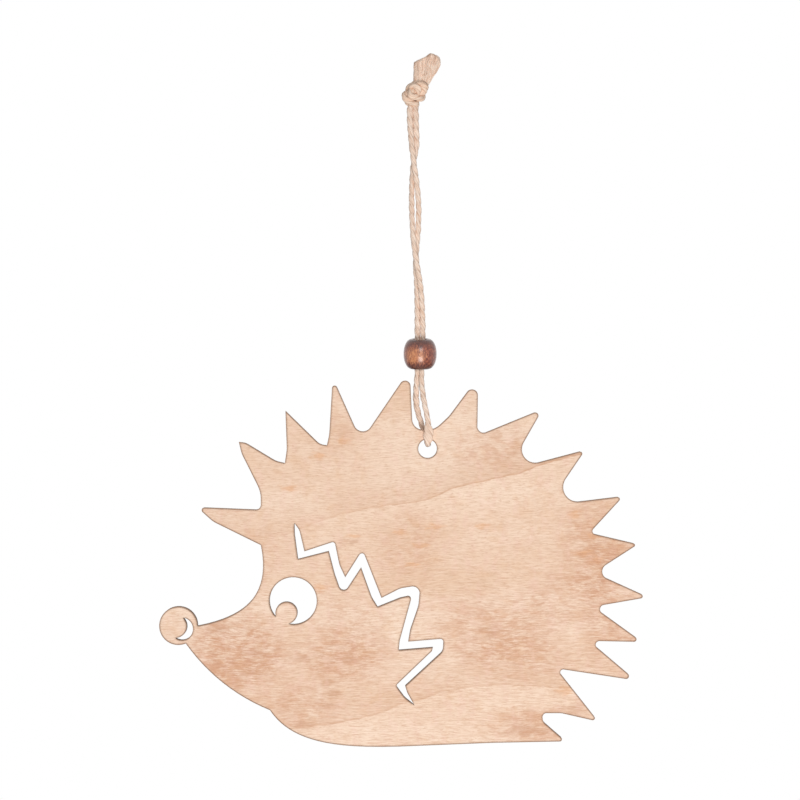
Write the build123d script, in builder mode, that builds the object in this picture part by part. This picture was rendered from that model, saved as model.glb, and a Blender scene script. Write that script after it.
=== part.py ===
"""A laser-cut plywood hedgehog that hangs on a loop of jute twine, with a wooden bead on the twine.

Millimetres, +Z up, seen from the front along +Y. The origin is the point inside the twine loop, just under the
knot, where the ornament hangs on a hook or a twig.
"""

import os
from math import radians, tan

from build123d import *

# Plywood plate: three veneers glued together and cut as one
plate_width = 141.8
plate_height = 107.9
face_veneer = 0.9
core_veneer = 1.2
plate_short_side = min(plate_width, plate_height)

# Cut-outs of the face; the pupil hangs on to the lower rim of the eye
nose_diameter = 11.3
nose_cut_outer_diameter = 6.6
nose_cut_inner_diameter = 6.7
eye_diameter = 13.9
pupil_diameter = 6.5
pupil_overlap = 0.38
pupil_direction = 241

# Bead, which leans with the twine that it slides on
bead_diameter = 9.8
bead_bore = 4.3
bead_drop = 71.7
bead_side = 2.1

# Hanging hole of the plate, under the bead where the plate comes to rest
hole_diameter = 5.5
bead_to_hole = 27.9
hole_drop = bead_drop + bead_to_hole
hole_side = 4.3

# Twine, its overhand knot with both strands taken as one, and the cut tails, which fray and spread
twine_diameter = 1.4
hole_bend_radius = 1.4
knot_strand_diameter = 1.7
knot_half_height = 3.65
knot_side = 0.7
knot_rise = 4.95
twine_sides = 6
tail_base_diameter = 2.2
left_tail_end_diameter = 3.2
right_tail_end_diameter = 3.6
left_tail_cut_slant = 35
right_tail_cut_slant = -8

# Shares of the plate's width and height, from its left and lower edges
hole_share = (0.557, 0.813)
nose_share = (0.040, 0.330)
eye_share = (0.278, 0.398)

# Shares of the nose's diameter, from its middle: the crescent is one disc cut out and a second one left in it
nose_cut_shares = (0.088, -0.081)
nose_cut_inner_shares = (-0.075, -0.019)

# The most of a side that the rounding at one of its ends takes
side_room_share = 0.49

# The most of a run that the arc at one of its ends takes
arc_room_share = 0.45

# Steps along the knot's line at which its gap to itself is measured
knot_steps = 200

# Spines from the brow to the rump, clockwise: width share, height share, rounding as a share of the short side
crown_shares = [
    (0.211, 0.550, 0.004),
    (0.112, 0.614, 0.070),
    (0.079, 0.653, 0.007),
    (0.211, 0.646, 0.014),
    (0.211, 0.695, 0.080),
    (0.171, 0.800, 0.080),
    (0.1655, 0.8311, 0),
    (0.179, 0.829, 0.033),
    (0.242, 0.779, 0.055),
    (0.2608, 0.7734, 0),
    (0.265, 0.811, 0.110),
    (0.2621, 0.9158, 0),
    (0.333, 0.825, 0.033),
    (0.3480, 0.8219, 0),
    (0.353, 0.851, 0.160),
    (0.360, 1.007, 0.007),
    (0.419, 0.834, 0.025),
    (0.520, 1.029, 0.015),
    (0.526, 0.868, 0.030),
    (0.568, 0.860, 0.065),
    (0.602, 0.902, 0.080),
    (0.662, 1.008, 0.016),
    (0.660, 0.848, 0.017),
    (0.796, 0.921, 0.009),
    (0.723, 0.753, 0.037),
    (0.884, 0.809, 0.006),
    (0.806, 0.658, 0.040),
    (0.963, 0.683, 0.006),
    (0.893, 0.583, 0.009),
    (0.993, 0.552, 0.005),
    (0.902, 0.475, 0.021),
    (1.014, 0.408, 0.006),
    (0.901, 0.382, 0.012),
    (1.002, 0.286, 0.007),
    (0.892, 0.289, 0.010),
    (0.989, 0.181, 0.008),
    (0.824, 0.214, 0.008),
    (0.911, 0.069, 0.006),
    (0.834, 0.092, 0.050),
    (0.795, 0.092, 0.013),
    (0.796, 0.069, 0.020),
    (0.843, 0.015, 0.006),
    (0.690, 0.011, 0.300),
]
belly_shares = [(0.500, 0.001), (0.375, -0.004), (0.276, 0.008), (0.230, 0.100)]
chin_shares = [(0.230, 0.100), (0.140, 0.167), (0.051, 0.290)]
face_shares = [(0.060, 0.325), (0.170, 0.347), (0.234, 0.403), (0.211, 0.550)]

# Zigzag slot between the face and the spines, down one side and back up the other
slot_shares = [
    (0.2805, 0.6101, 0),
    (0.291, 0.591, 0.033),
    (0.3014, 0.5329, 0),
    (0.364, 0.560, 0.007),
    (0.374, 0.496, 0.068),
    (0.3861, 0.4623, 0),
    (0.422, 0.537, 0.008),
    (0.4613, 0.4059, 0),
    (0.500, 0.432, 0.041),
    (0.542, 0.441, 0.019),
    (0.538, 0.384, 0.068),
    (0.521, 0.319, 0.041),
    (0.5168, 0.2869, 0),
    (0.590, 0.295, 0.008),
    (0.589, 0.261, 0.022),
    (0.5104, 0.1659, 0),
    (0.515, 0.147, 0.033),
    (0.5299, 0.1126, 0),
    (0.509, 0.135, 0.041),
    (0.491, 0.167, 0.008),
    (0.5659, 0.2611, 0),
    (0.5679, 0.2709, 0),
    (0.4970, 0.2633, 0),
    (0.499, 0.289, 0.055),
    (0.525, 0.413, 0.008),
    (0.500, 0.406, 0.033),
    (0.4533, 0.3813, 0),
    (0.441, 0.407, 0.055),
    (0.4188, 0.4884, 0),
    (0.380, 0.411, 0.013),
    (0.364, 0.471, 0.068),
    (0.3517, 0.5332, 0),
    (0.2879, 0.5118, 0),
    (0.281, 0.580, 0.109),
]


# The twine as it hangs, from the knot down to the middle of the bead
left_strand_route = [
    (-0.80, 0.00, 1.0),
    (-0.80, -0.10, -5.0),
    (0.00, -1.00, -14.0),
    (1.40, -0.30, -21.5),
    (1.90, 0.00, -29.0),
    (1.60, 0.30, -36.5),
    (0.80, 1.05, -44.0),
    (1.20, 0.60, -52.5),
    (1.30, 0.00, -61.5),
    (1.30, 0.00, -71.7),
]
right_strand_route = [
    (0.80, 0.00, 1.0),
    (1.20, 0.15, -5.5),
    (0.20, 1.00, -14.5),
    (-0.35, 0.35, -22.0),
    (-0.40, 0.00, -29.5),
    (-0.05, -0.35, -36.5),
    (0.95, -1.05, -43.5),
    (2.40, -0.55, -52.0),
    (2.90, 0.00, -62.0),
    (2.90, 0.00, -71.7),
]
# On from the bead, down in front of the plate, back through its hole and up behind it
hole_loop_route = [
    (2.90, 0.00, -71.7),
    (2.90, 0.00, -76.6),
    (3.00, -0.95, -82.5),
    (3.75, -2.15, -87.8),
    (4.40, -2.45, -92.3),
    (4.45, -2.45, -97.85),
    (4.35, 2.45, -97.85),
    (3.30, 2.45, -93.0),
    (1.30, 2.15, -88.0),
    (0.70, 0.90, -82.7),
    (1.30, 0.00, -76.8),
    (1.30, 0.00, -71.7),
]
left_tail_route = [(1.15, -0.30, 8.85), (2.10, -0.30, 14.50)]
right_tail_route = [(3.55, -0.30, 8.85), (6.05, -0.30, 15.40)]

# Half of the overhand knot as shares of its half height, from its lower end to the middle of its front
knot_half_shares = [
    (-0.02, -0.12, -1.00),
    (-0.14, -0.27, -0.42),
    (-0.37, 0.12, 0.03),
    (-0.14, 0.45, 0.37),
    (0.26, 0.45, 0.62),
    (0.68, 0.10, 0.68),
    (0.80, -0.42, 0.54),
    (0.49, -0.82, 0.27),
    (0.00, -0.87, 0.00),
]
knot_lean_share = 0.2


def plate_point(width_share, height_share):
    """A point of the plate, from shares of its width and height."""
    across = hole_side + plate_width * (width_share - hole_share[0])
    up = -hole_drop + plate_height * (height_share - hole_share[1])
    return (across, up)


def rounded_line(corner_shares, close=False):
    """Straight sides with a rounding at each corner, which takes less than half of the shorter side there."""
    corners = [Vector(*plate_point(across, up)) for across, up, _ in corner_shares]
    roundings = []
    for index, (_, _, rounding_share) in enumerate(corner_shares):
        side_in = corners[index] - corners[index - 1]
        side_out = corners[(index + 1) % len(corners)] - corners[index]
        half_turn = radians(side_in.get_angle(side_out) / 2)
        room = side_room_share * min(side_in.length, side_out.length) / tan(half_turn)
        roundings.append(min(plate_short_side * rounding_share, room))
    if not close:
        roundings = roundings[1:-1]
    return FilletPolyline(*corners, radius=roundings, close=close)


# The outline of the plate with its cut-outs, drawn once for the three veneers
with BuildSketch() as hedgehog_outline:
    with BuildLine():
        Bezier(*[plate_point(*share) for share in face_shares])
        rounded_line([(*face_shares[-1], 0)] + crown_shares[1:] + [(*belly_shares[0], 0)])
        Bezier(*[plate_point(*share) for share in belly_shares])
        ThreePointArc(*[plate_point(*share) for share in chin_shares])
        Line(plate_point(*chin_shares[-1]), plate_point(*face_shares[0]))
    make_face()
    with Locations(plate_point(*nose_share)):
        Circle(nose_diameter / 2)
        with Locations(Vector(*nose_cut_shares) * nose_diameter):
            Circle(nose_cut_outer_diameter / 2, mode=Mode.SUBTRACT)
        with Locations(Vector(*nose_cut_inner_shares) * nose_diameter):
            Circle(nose_cut_inner_diameter / 2)
    with Locations(plate_point(*hole_share)):
        Circle(hole_diameter / 2, mode=Mode.SUBTRACT)
    with Locations(plate_point(*eye_share)):
        Circle(eye_diameter / 2, mode=Mode.SUBTRACT)
        with PolarLocations((eye_diameter - pupil_diameter) / 2 + pupil_overlap, 1, start_angle=pupil_direction):
            Circle(pupil_diameter / 2)
    with BuildLine():
        rounded_line(slot_shares, close=True)
    make_face(mode=Mode.SUBTRACT)


def corner_radii(route, tight_corners=()):
    """The largest arcs that the runs of a route leave room for; tight corners take the hole's bend."""
    points = [Vector(*point) for point in route]
    radii = []
    for index in range(1, len(points) - 1):
        run_in = points[index] - points[index - 1]
        run_out = points[index + 1] - points[index]
        half_turn = radians(run_in.get_angle(run_out) / 2)
        radius = arc_room_share * min(run_in.length, run_out.length) / tan(half_turn)
        radii.append(hole_bend_radius if index in tight_corners else radius)
    return radii


def sweep_strand(route, diameter, tight_corners=()):
    """Adds a strand to the open part, along straight runs joined by tangent arcs, and returns its line."""
    radii = corner_radii(route, tight_corners)
    with BuildLine():
        strand_line = FilletPolyline(*route, radius=radii)
    with BuildSketch(Plane(origin=strand_line @ 0, z_dir=strand_line % 0)) as section:
        RegularPolygon(diameter / 2, twine_sides)
    strand = sweep(section.sketch, path=strand_line)
    print(f"strand of {strand_line.length:.1f} mm, bend radii {[round(radius, 1) for radius in radii]}")
    expected = section.sketch.area * strand_line.length
    print(f"volume {strand.volume:.2f}, section times length {expected:.2f}")
    return strand_line


os.makedirs("parts", exist_ok=True)

# Front veneer, glued to the core
with BuildPart() as front_veneer:
    with BuildSketch(Plane.XZ.offset(core_veneer / 2)):
        add(hedgehog_outline.sketch)
    extrude(amount=face_veneer)
front_veneer.part.label = "front_veneer"
export_step(front_veneer.part, "parts/front_veneer.step")

# Core veneer between the two faces
with BuildPart() as core_ply:
    with BuildSketch(Plane.XZ):
        add(hedgehog_outline.sketch)
    extrude(amount=core_veneer / 2, both=True)
core_ply.part.label = "core_veneer"
export_step(core_ply.part, "parts/core_veneer.step")

# Back veneer
with BuildPart() as back_veneer:
    with BuildSketch(Plane.XZ.offset(-core_veneer / 2)):
        add(hedgehog_outline.sketch)
    extrude(amount=-face_veneer)
back_veneer.part.label = "back_veneer"
export_step(back_veneer.part, "parts/back_veneer.step")

# Turned bead: a ball with a bore wide enough for both strands, which gives it its two flat ends
bead_middle = Vector(bead_side, 0, -bead_drop)
with BuildPart(Plane(origin=bead_middle, z_dir=-bead_middle)) as bead:
    Sphere(bead_diameter / 2)
    Hole(bead_bore / 2)
bead.part.label = "bead"
export_step(bead.part, "parts/bead.step")

# The two strands from the knot down to the middle of the bead
strand_routes = {"twine_left_strand": left_strand_route, "twine_right_strand": right_strand_route}
for name, route in strand_routes.items():
    with BuildPart() as twine_strand:
        sweep_strand(route, twine_diameter)
    twine_strand.part.label = name
    export_step(twine_strand.part, f"parts/{name}.step")

# The loop on from the bead, which carries the plate in its hole
hole_corners = (5, 6)
with BuildPart() as hole_loop:
    sweep_strand(hole_loop_route, twine_diameter, hole_corners)
hole_loop.part.label = "twine_hole_loop"
export_step(hole_loop.part, "parts/twine_hole_loop.step")

# Overhand knot: its second half is the first one turned half a turn about the line of sight
knot_shares = knot_half_shares + [(-across, depth, -up) for across, depth, up in knot_half_shares[-2::-1]]
knot_route = [
    (
        knot_side + knot_half_height * (across + knot_lean_share * up),
        knot_half_height * depth,
        knot_rise + knot_half_height * up,
    )
    for across, depth, up in knot_shares
]
with BuildPart() as knot:
    knot_line = sweep_strand(knot_route, knot_strand_diameter)
knot.part.label = "twine_knot"
export_step(knot.part, "parts/twine_knot.step")

# The least gap of the knot to itself, between points further apart along it than its own bends
knot_points = [knot_line @ (step / knot_steps) for step in range(knot_steps + 1)]
own_bend_steps = int(knot_steps * 2 * knot_strand_diameter / knot_line.length)
least_distance = min(
    (knot_points[first] - knot_points[second]).length
    for first in range(knot_steps)
    for second in range(first + own_bend_steps, knot_steps + 1)
)
print(f"least gap of the knot to itself {least_distance - knot_strand_diameter:.2f} mm")

# The cut tails, frayed and wider at their slanted ends
tails = {
    "twine_left_tail": (left_tail_route, left_tail_end_diameter, left_tail_cut_slant),
    "twine_right_tail": (right_tail_route, right_tail_end_diameter, right_tail_cut_slant),
}
for name, (route, end_diameter, cut_slant) in tails.items():
    tail_base, tail_end = [Vector(*point) for point in route]
    with BuildPart() as tail:
        with BuildSketch(Plane(origin=tail_base, x_dir=(0, 1, 0), z_dir=tail_end - tail_base)):
            RegularPolygon(tail_base_diameter / 2, twine_sides)
        with BuildSketch(Plane(origin=tail_end, x_dir=(0, 1, 0), z_dir=(0, 0, 1)).rotated((-cut_slant, 0, 0))):
            RegularPolygon(end_diameter / 2, twine_sides)
        loft()
    tail.part.label = name
    export_step(tail.part, f"parts/{name}.step")
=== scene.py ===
# %% [markdown]
# # A plywood hedgehog on jute twine
#
# The ornament is a flat hedgehog, cut by laser from three-ply wood. It hangs on one length of jute twine, which
# goes through its hole, through a stained wooden bead, and ends in an overhand knot with two frayed tails.
#
# The plate's solids are exact already, so they stay and only get their wood. Those of the twine and the bead are
# simpler than the photograph shows, so the twine, its knot, its tails and the bead are made anew.

import math

import bpy
import numpy as np
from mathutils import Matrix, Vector


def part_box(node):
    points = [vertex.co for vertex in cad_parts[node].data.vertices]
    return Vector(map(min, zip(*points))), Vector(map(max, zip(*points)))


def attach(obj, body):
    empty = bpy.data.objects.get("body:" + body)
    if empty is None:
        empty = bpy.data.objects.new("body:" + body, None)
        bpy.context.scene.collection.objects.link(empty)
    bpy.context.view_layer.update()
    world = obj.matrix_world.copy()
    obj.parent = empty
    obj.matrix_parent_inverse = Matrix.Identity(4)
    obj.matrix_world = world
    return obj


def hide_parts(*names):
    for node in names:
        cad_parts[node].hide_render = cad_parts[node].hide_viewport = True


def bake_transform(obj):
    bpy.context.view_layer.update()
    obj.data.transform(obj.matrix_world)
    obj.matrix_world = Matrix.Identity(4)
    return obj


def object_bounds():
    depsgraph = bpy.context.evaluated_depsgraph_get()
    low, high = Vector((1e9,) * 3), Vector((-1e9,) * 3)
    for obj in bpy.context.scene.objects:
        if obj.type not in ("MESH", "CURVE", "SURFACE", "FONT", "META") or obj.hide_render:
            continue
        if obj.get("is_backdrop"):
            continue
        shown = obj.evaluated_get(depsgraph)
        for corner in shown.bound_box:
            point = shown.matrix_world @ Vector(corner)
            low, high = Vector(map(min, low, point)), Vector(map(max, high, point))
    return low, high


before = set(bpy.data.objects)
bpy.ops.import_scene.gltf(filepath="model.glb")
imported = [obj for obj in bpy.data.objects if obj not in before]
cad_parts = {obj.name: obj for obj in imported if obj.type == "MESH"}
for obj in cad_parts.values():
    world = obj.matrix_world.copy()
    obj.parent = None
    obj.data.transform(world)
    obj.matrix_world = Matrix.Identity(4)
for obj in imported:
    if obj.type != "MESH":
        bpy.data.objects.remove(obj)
solid_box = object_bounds()
print("solids:", sorted(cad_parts))

MM = 0.001
PICTURE_SIDE = 800
PIXELS_PER_MM = 3.4

# %% [markdown]
# ## The camera
#
# The photograph is taken straight from the front. The picture is 800 pixels wide and 3.4 pixels are one
# millimetre of the plate's face, so the lens follows from the distance. A camera without perspective would see no
# cut walls at all. From 0.9 m those of the lower spines and of the zigzag slot just show, as in the photograph.

# %% Place the camera
CAMERA_DISTANCE = 900 * MM
PICTURE_WIDTH = PICTURE_SIDE / PIXELS_PER_MM * MM
PICTURE_MIDDLE = (-3.82 * MM, -85.29 * MM)
FACE_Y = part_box("front_veneer")[0].y

camera_data = bpy.data.cameras.new("front_camera")
camera = bpy.data.objects.new("front_camera", camera_data)
bpy.context.scene.collection.objects.link(camera)
camera.location = (PICTURE_MIDDLE[0], FACE_Y - CAMERA_DISTANCE, PICTURE_MIDDLE[1])
camera.rotation_euler = (math.pi / 2, 0, 0)
camera_data.lens = camera_data.sensor_width * CAMERA_DISTANCE / PICTURE_WIDTH
bpy.context.scene.camera = camera
print(f"lens {camera_data.lens:.1f} mm for a picture {PICTURE_WIDTH / MM:.1f} mm wide")

# %% [markdown]
# ## The line that the twine follows
#
# The real twine is one piece, so it gets one line: from the right tail through the knot, down the right strand,
# through the plate's hole, up the left strand and through the knot again to the left tail. A Bezier curve would need
# two handles at each point of the route, while a NURBS curve rounds it by itself. The knot is tied with both strands
# at once, so each strand runs beside the knot's own line, half a strand's width to one side.

# %% The strands, from the knot to the hole and back, in millimetres
RIGHT_STRAND = [
    (0.70, 0.00, 1.0), (0.90, 0.10, -5.0), (1.25, 0.50, -10.0), (0.15, 1.00, -14.8), (-0.35, 0.35, -22.0),
    (-0.40, 0.00, -29.5), (-0.05, -0.35, -36.5), (0.80, -1.05, -43.5), (2.35, -0.55, -52.0), (2.90, 0.00, -62.0),
]
HOLE_LOOP = [
    (2.90, 0.00, -71.7), (2.45, -0.20, -76.6), (2.55, -1.00, -82.0), (3.70, -2.15, -87.8), (4.55, -2.45, -92.3),
    (4.50, -2.85, -98.4), (4.35, 2.85, -98.4), (2.75, 2.45, -93.0), (1.08, 2.20, -88.0), (0.78, 0.95, -82.7),
    (1.40, 0.20, -76.8), (1.30, 0.00, -71.7),
]
LEFT_STRAND = [
    (-0.85, 0.00, 1.0), (-0.95, -0.10, -4.0), (0.00, -1.00, -14.0), (1.10, -0.30, -21.0), (1.80, 0.00, -28.5),
    (1.50, 0.30, -36.0), (0.70, 1.05, -43.8), (1.20, 0.60, -52.5), (1.30, 0.00, -61.5),
]

# %% The knot's own line, from its half height and its shares
KNOT_HALF_HEIGHT = 3.65
KNOT_SIDE = 0.7
KNOT_RISE = 4.95
KNOT_LEAN = 0.2
KNOT_FACING = -1
KNOT_HALF = [
    (-0.02, -0.12, -1.00), (-0.14, -0.27, -0.42), (-0.37, 0.12, 0.03), (-0.14, 0.45, 0.37), (0.26, 0.45, 0.62),
    (0.68, 0.10, 0.68), (0.80, -0.42, 0.54), (0.49, -0.82, 0.27), (0, -0.87, 0),
]
knot_shares = KNOT_HALF + [(-x, y, -z) for x, y, z in KNOT_HALF[-2::-1]]
knot_line = np.array([
    (KNOT_SIDE + KNOT_HALF_HEIGHT * (KNOT_FACING * x + KNOT_LEAN * z), KNOT_FACING * KNOT_HALF_HEIGHT * y,
     KNOT_RISE + KNOT_HALF_HEIGHT * z)
    for x, y, z in knot_shares
])
print("knot line of", len(knot_line), "points, up to", knot_line[:, 2].max().round(2), "mm")


# %% Turn a sideways direction along a line without twisting it
def unit(vectors):
    return vectors / np.linalg.norm(vectors, axis=-1, keepdims=True)


def carry_along(line, sideways):
    """The directions forward, sideways and upward at each point of a line, carried along it without twist."""
    forward = unit(np.gradient(line, axis=0))
    carried = []
    for direction in forward:
        sideways = sideways - direction * (sideways @ direction)
        sideways = sideways / np.linalg.norm(sideways)
        carried.append(sideways)
    return forward, np.array(carried), np.cross(forward, carried)


# %% Lay the two strands of the knot beside its line
STRAND_OFFSET = 0.52
_, knot_sideways, _ = carry_along(knot_line, (1, 0, 0))
right_knot = knot_line + STRAND_OFFSET * knot_sideways
left_knot = knot_line - STRAND_OFFSET * knot_sideways
print("right strand leaves the knot at", right_knot[-1].round(2), "and the left one at", left_knot[-1].round(2))


# %% Space the points of a line evenly
def evenly(points, step):
    run = np.concatenate([[0], np.cumsum(np.linalg.norm(np.diff(points, axis=0), axis=1))])
    even = np.linspace(0, run[-1], int(run[-1] / step) + 1)
    return np.stack([np.interp(even, run, points[:, axis]) for axis in range(3)], axis=1)


# %% Make the curve and read its points
LINE_STEP = 0.2
CURVE_STEPS = 24


def read_curve(points_mm, name):
    """The points of the smooth curve that the control points pull on, evenly spaced, in metres."""
    curve = bpy.data.curves.new(name, "CURVE")
    curve.dimensions = "3D"
    curve.resolution_u = CURVE_STEPS
    spline = curve.splines.new("NURBS")
    spline.points.add(len(points_mm) - 1)
    for point, place in zip(spline.points, points_mm):
        point.co = (place[0] * MM, place[1] * MM, place[2] * MM, 1)
    spline.order_u = 3
    spline.use_endpoint_u = True
    holder = bpy.data.objects.new(name, curve)
    mesh = bpy.data.meshes.new_from_object(holder)
    points = np.array([vertex.co for vertex in mesh.vertices])
    bpy.data.meshes.remove(mesh)
    bpy.data.curves.remove(curve)
    return evenly(points, LINE_STEP * MM)


# %% The whole route, from the foot of the right tail to that of the left one
RIGHT_TAIL_FOOT = [(3.90, -0.30, 10.6), (3.30, -0.30, 9.4)]
LEFT_TAIL_FOOT = [(1.30, -0.30, 9.4), (1.60, -0.30, 10.6)]
twine_route = (
    RIGHT_TAIL_FOOT + [tuple(point) for point in right_knot[::-1]] + RIGHT_STRAND + HOLE_LOOP
    + LEFT_STRAND[::-1] + [tuple(point) for point in left_knot] + LEFT_TAIL_FOOT
)
loose_line = read_curve(twine_route, "twine_line")
print(f"line of {len(loose_line)} points")


# %% Find where the strands enter the knot
def nearest(line, place_mm):
    return int(np.argmin(np.linalg.norm(line - np.array(place_mm) * MM, axis=1)))


knot_exit = nearest(loose_line, RIGHT_STRAND[0])
knot_return = nearest(loose_line, LEFT_STRAND[0])
print("the strands leave the knot at points", knot_exit, "and", knot_return)

# %% [markdown]
# ## Pull the knot tight
#
# A knot that is only drawn looks like wire, with gaps between its turns. Real twine is pulled until its turns
# press on each other, so the same is done here: again and again, each point of the knot moves towards its
# neighbours, as under tension, and is pushed off any turn that it would sink into. The ends stay in place.
#
# The real knot isn't upright: its lower half sits to the left and its upper half to the right. So it is leaned over
# once it is tight, which keeps the turns in touch.

# %% Measures of the tightening, in millimetres and rounds
KNOT_STEP = 2
KNOT_HELD = 3
KNOT_GAP = 1.60
KNOT_ROUNDS = 500
KNOT_PULL = 0.4
KNOT_PUSH = 0.25
KNOT_LARGEST_MOVE = 0.08
OWN_TURN_FROM = 2
TINY = 1e-9


# %% Tighten the two strands of the knot
def tighten(strands):
    """The strands after tension and contact have settled, in millimetres."""
    points = np.concatenate(strands)
    owner = np.concatenate([np.full(len(strand), number) for number, strand in enumerate(strands)])
    order = np.concatenate([np.arange(len(strand)) for strand in strands])
    left = np.concatenate([np.arange(len(strand))[::-1] for strand in strands])
    free = (order >= KNOT_HELD) & (left >= KNOT_HELD)
    for _ in range(KNOT_ROUNDS):
        step = np.median(np.linalg.norm(np.diff(points, axis=0), axis=1))
        pull = np.zeros_like(points)
        pull[1:-1] = KNOT_PULL * ((points[:-2] + points[2:]) / 2 - points[1:-1])
        offset = points[:, None] - points[None]
        distance = np.linalg.norm(offset, axis=-1) + TINY
        apart = np.abs(order[:, None] - order[None]) * step > OWN_TURN_FROM * KNOT_GAP
        other = (owner[:, None] != owner[None]) | apart
        push = np.where(other & (distance < KNOT_GAP), KNOT_PUSH * (KNOT_GAP - distance) / distance, 0)
        move = pull + (offset * push[..., None]).sum(axis=1)
        size = np.linalg.norm(move, axis=1, keepdims=True) + TINY
        points[free] += (move * np.minimum(1, KNOT_LARGEST_MOVE / size))[free]
    return [points[owner == number] for number in range(len(strands))]


# %% Lean the tight knot over
LEAN_FROM, LEAN_TO = 0.1, 9.4
LEAN_LOW, LEAN_HIGH = 1.75, 1.1
LEAN_END_POINTS = 8
KNOT_LIFT = 0.45
KNOT_WIDER = 0.22
KNOT_MIDDLE = 1.4


def lean_over(strand):
    """The lower half of the knot moved to the left and the upper half to the right, with the ends kept in place."""
    share = np.clip((strand[:, 2] - LEAN_FROM) / (LEAN_TO - LEAN_FROM), 0, 1)
    ends = np.minimum(1, np.minimum(np.arange(len(strand)), np.arange(len(strand))[::-1]) / LEAN_END_POINTS)
    round_part = np.sin(math.pi * share) ** 2
    lean = np.where(share < 0.5, LEAN_LOW, LEAN_HIGH) * np.sin(2 * math.pi * share)
    sideways = (-lean + KNOT_WIDER * round_part * (strand[:, 0] - KNOT_MIDDLE)) * ends
    upward = KNOT_LIFT * round_part * ends
    return strand + np.stack([sideways, np.zeros(len(strand)), upward], axis=1)


right_tight, left_tight = map(lean_over, tighten([
    loose_line[:knot_exit + 1:KNOT_STEP] / MM, loose_line[knot_return::KNOT_STEP] / MM
]))
for name, strand in (("right", right_tight), ("left", left_tight)):
    print(name, "strand of the knot:", strand.min(axis=0).round(2), "to", strand.max(axis=0).round(2), "mm")


# %% Join the knot to the hanging twine
hanging_line = loose_line[knot_exit:knot_return + 1]
twine_line = np.concatenate([right_tight[:-1] * MM, hanging_line, left_tight[1:] * MM])
twine_line = evenly(twine_line, LINE_STEP * MM)
run_lengths = np.arange(len(twine_line)) * np.linalg.norm(twine_line[1] - twine_line[0])
knot_exit = nearest(twine_line, hanging_line[0] / MM)
knot_return = nearest(twine_line, hanging_line[-1] / MM)
free_length = run_lengths[knot_return] - run_lengths[knot_exit]
print(f"twine of {run_lengths[-1] / MM:.1f} mm, of which {free_length / MM:.1f} mm hang free of the knot")

# %% [markdown]
# ## Spin the twine
#
# Jute twine is a few plies of fibres, laid round each other, and three are spun here. A smooth tube with a picture
# of twist on it looks like wire, so each ply is a real tube that winds round the line, with a ridged section for its
# fibres. This twine is laid to the left: in front its plies fall from the upper left to the lower right. Its strands
# are fuller where they come out of the knot, and pressed flat where the plate pulls them over the edge of the hole.
#
# Each point also remembers where it would be if the twine lay straight. The fibres' colour is worked out from that
# place later, so it follows every bend of the twine.

# %% Measures of the twine, in millimetres
PLIES = 3
PLY_RADIUS = 0.49
PLY_OFFSET = 0.34
LAY_LENGTH = -8.5
FIBRE_RIDGES = 7
RIDGE_DEPTH = 0.05
RIDGE_LAG = 1.5
PLY_SIDES = 18
PLY_UNEVEN, PLY_UNEVEN_STEPS = 0.07, 14
SKIN_UNEVEN, SKIN_UNEVEN_STEPS = 0.05, 9
PLIES_APART = 5


# %% Slow random changes along the twine
def smooth_noise(random, count, every):
    """Numbers from -1 to 1 that change slowly, with a new value about every so many steps."""
    knots = random.uniform(-1, 1, int(count / every) + 3)
    at = np.arange(count) / every
    low = at.astype(int)
    share = at - low
    share = share * share * (3 - 2 * share)
    return knots[low] * (1 - share) + knots[low + 1] * share


# %% Faces between rings of points
def ring_faces(rings, sides, start):
    """The quads between rings of points, and a cap at each end."""
    ring, side = np.meshgrid(np.arange(rings - 1), np.arange(sides), indexing="ij")
    here = start + ring * sides + side
    beside = start + ring * sides + (side + 1) % sides
    quads = np.stack([here, beside, beside + sides, here + sides], axis=-1).reshape(-1, 4).tolist()
    last = start + (rings - 1) * sides
    return quads + [list(range(start + sides - 1, start - 1, -1)), list(range(last, last + sides))]


# %% Collect the points, faces and straight places of one mesh while it grows
class Heap:
    def __init__(self):
        self.points, self.straight, self.faces, self.count = [], [], [], 0

    def add_rings(self, rings, straight):
        """Rings of points, as (rings, sides, 3), in metres, with their straight places in millimetres."""
        self.faces += ring_faces(rings.shape[0], rings.shape[1], self.count)
        self.points.append(rings.reshape(-1, 3))
        self.straight.append(straight.reshape(-1, 3))
        self.count += rings.shape[0] * rings.shape[1]


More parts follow.
